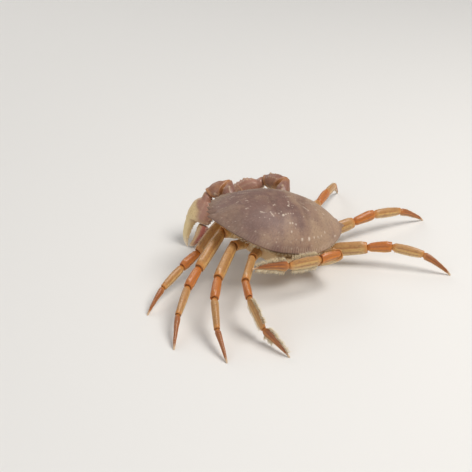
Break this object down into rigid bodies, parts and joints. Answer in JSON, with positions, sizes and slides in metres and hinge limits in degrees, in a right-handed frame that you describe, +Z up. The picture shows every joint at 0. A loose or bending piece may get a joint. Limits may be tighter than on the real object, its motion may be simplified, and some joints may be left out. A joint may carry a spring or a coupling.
{
  "type": "dungeness crab",
  "caption": "Life-size crab with a broad toothed shell, claws and jointed walking legs, one claw let down beside it and the last right leg folded behind.",
  "frame": {"origin": "centre of the bounding box in plan, on the floor that the leg tips stand on", "axes": "+Y the way the crab faces, +X its right side, +Z up"},
  "size_m": [0.3663, 0.2868, 0.0924],
  "materials": {
    "shell": "satin, grainy",
    "leg": "satin",
    "claw": "satin",
    "underside": "satin",
    "feeler": "satin",
    "eye": "glossy"
  },
  "bodies": {
    "root": {"carapace": "shell", "breast_plate": "underside", "tail_flap": "underside", "mouth_plate_left": "underside", "antenna_left": "feeler", "eye_left": "eye", "claw_left_base": "leg", "claw_left_merus": "leg", "claw_left_carpus": "leg", "claw_left_palm": "claw", "claw_left_dactyl": "claw", "leg_left_2_base": "leg", "leg_left_2_merus": "leg", "leg_left_2_carpus": "leg", "leg_left_2_propodus": "leg", "leg_left_2_dactyl": "leg", "leg_left_3_base": "leg", "leg_left_3_merus": "leg", "leg_left_3_carpus": "leg", "leg_left_3_propodus": "leg", "leg_left_3_dactyl": "leg", "leg_left_4_base": "leg", "leg_left_4_merus": "leg", "leg_left_4_carpus": "leg", "leg_left_4_propodus": "leg", "leg_left_4_dactyl": "leg", "leg_left_5_base": "leg", "leg_left_5_merus": "leg", "leg_left_5_carpus": "leg", "leg_left_5_propodus": "leg", "leg_left_5_dactyl": "leg", "mouth_plate_right": "underside", "antenna_right": "feeler", "eye_right": "eye", "claw_right_base": "leg", "claw_right_merus": "leg", "claw_right_carpus": "leg", "claw_right_palm": "claw", "claw_right_dactyl": "claw", "leg_right_2_base": "leg", "leg_right_2_merus": "leg", "leg_right_2_carpus": "leg", "leg_right_2_propodus": "leg", "leg_right_2_dactyl": "leg", "leg_right_3_base": "leg", "leg_right_3_merus": "leg", "leg_right_3_carpus": "leg", "leg_right_3_propodus": "leg", "leg_right_3_dactyl": "leg", "leg_right_4_base": "leg", "leg_right_4_merus": "leg", "leg_right_4_carpus": "leg", "leg_right_4_propodus": "leg", "leg_right_4_dactyl": "leg", "leg_right_5_base": "leg", "leg_right_5_merus": "leg", "leg_right_5_carpus": "leg", "leg_right_5_propodus": "leg", "leg_right_5_dactyl": "leg"}
  },
  "joints": []
}
